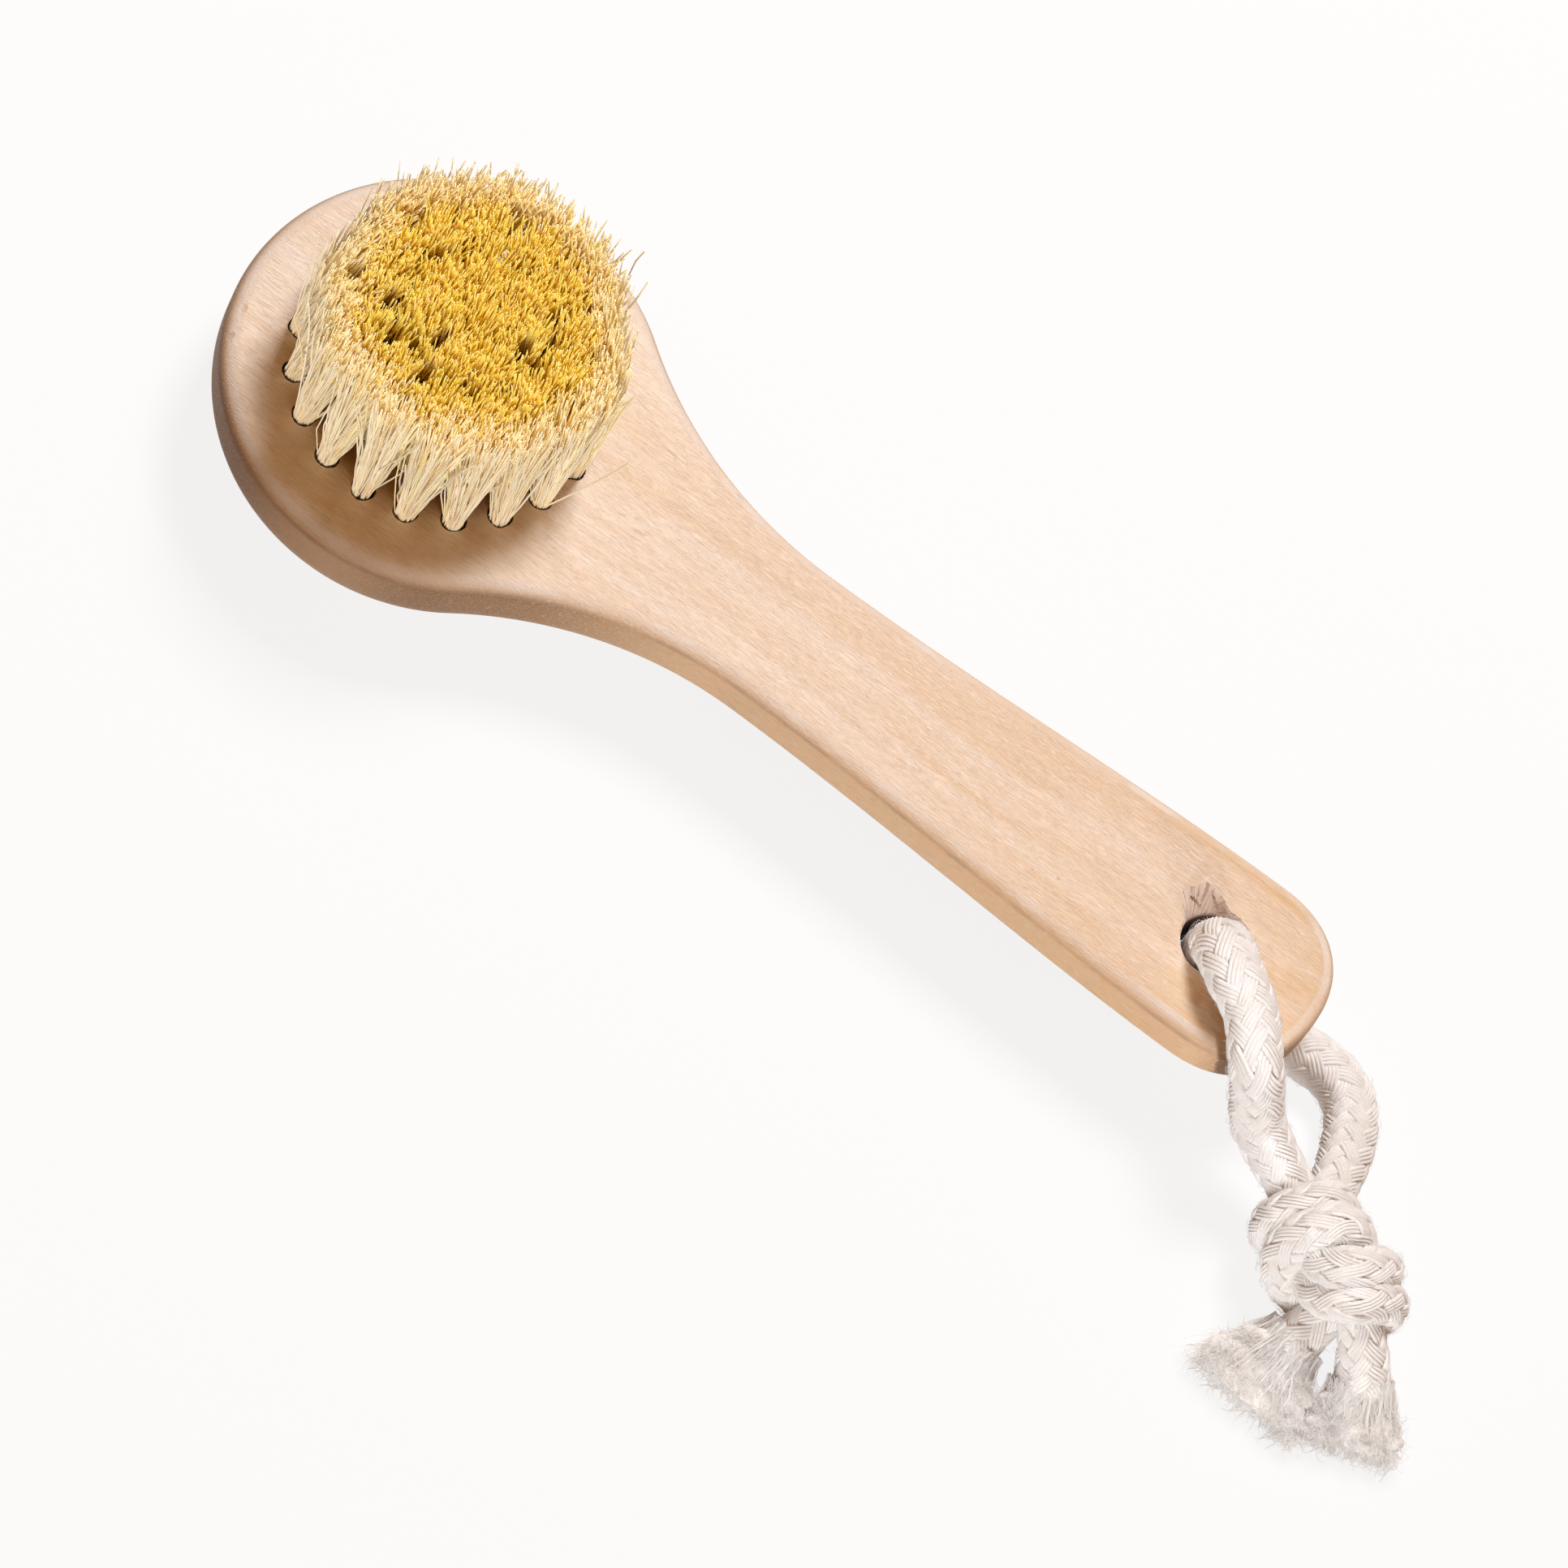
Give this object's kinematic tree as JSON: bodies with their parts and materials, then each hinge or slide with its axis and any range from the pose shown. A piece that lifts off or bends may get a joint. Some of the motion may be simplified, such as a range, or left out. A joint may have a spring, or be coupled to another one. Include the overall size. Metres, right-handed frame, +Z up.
{
  "type": "body dry brush",
  "caption": "Short-handled body dry brush: round wooden head with bristle tufts set in rings, slim waisted handle and a knotted braided cotton hanging cord.",
  "frame": {"origin": "middle of the brush's footprint on the surface that it lies on, cord left out", "axes": "+X from the head along the handle to the hanging hole, +Z up out of the bristle face, +Y to the left seen from the head"},
  "size_m": [0.1933, 0.0676, 0.0377],
  "materials": {
    "wood": "fine-sanded pale hardwood, waxed matt",
    "bristle": "natural cream to golden bristle",
    "anchor_metal": "plain flat wire",
    "cotton": "undyed braided cotton"
  },
  "bodies": {
    "brush": {"wooden_body": "wood", "tuft_anchors": "anchor_metal", "tuft_centre": "bristle", "tuft_inner_01": "bristle", "tuft_inner_02": "bristle", "tuft_inner_03": "bristle", "tuft_inner_04": "bristle", "tuft_inner_05": "bristle", "tuft_inner_06": "bristle", "tuft_inner_07": "bristle", "tuft_middle_01": "bristle", "tuft_middle_02": "bristle", "tuft_middle_03": "bristle", "tuft_middle_04": "bristle", "tuft_middle_05": "bristle", "tuft_middle_06": "bristle", "tuft_middle_07": "bristle", "tuft_middle_08": "bristle", "tuft_middle_09": "bristle", "tuft_middle_10": "bristle", "tuft_middle_11": "bristle", "tuft_middle_12": "bristle", "tuft_middle_13": "bristle", "tuft_outer_01": "bristle", "tuft_outer_02": "bristle", "tuft_outer_03": "bristle", "tuft_outer_04": "bristle", "tuft_outer_05": "bristle", "tuft_outer_06": "bristle", "tuft_outer_07": "bristle", "tuft_outer_08": "bristle", "tuft_outer_09": "bristle", "tuft_outer_10": "bristle", "tuft_outer_11": "bristle", "tuft_outer_12": "bristle", "tuft_outer_13": "bristle", "tuft_outer_14": "bristle", "tuft_outer_15": "bristle", "tuft_outer_16": "bristle", "tuft_outer_17": "bristle", "tuft_outer_18": "bristle", "tuft_outer_19": "bristle", "tuft_outer_20": "bristle"},
    "cord": {"hanging_cord": "cotton", "left_frayed_end": "cotton", "right_frayed_end": "cotton"}
  },
  "joints": [
    {"name": "cord_swing", "type": "hinge", "parent": "brush", "child": "cord", "pos_m": [0.062, 0, 0.0121], "axis": [0, 0, 1], "range_deg": [-60, 120]}
  ]
}
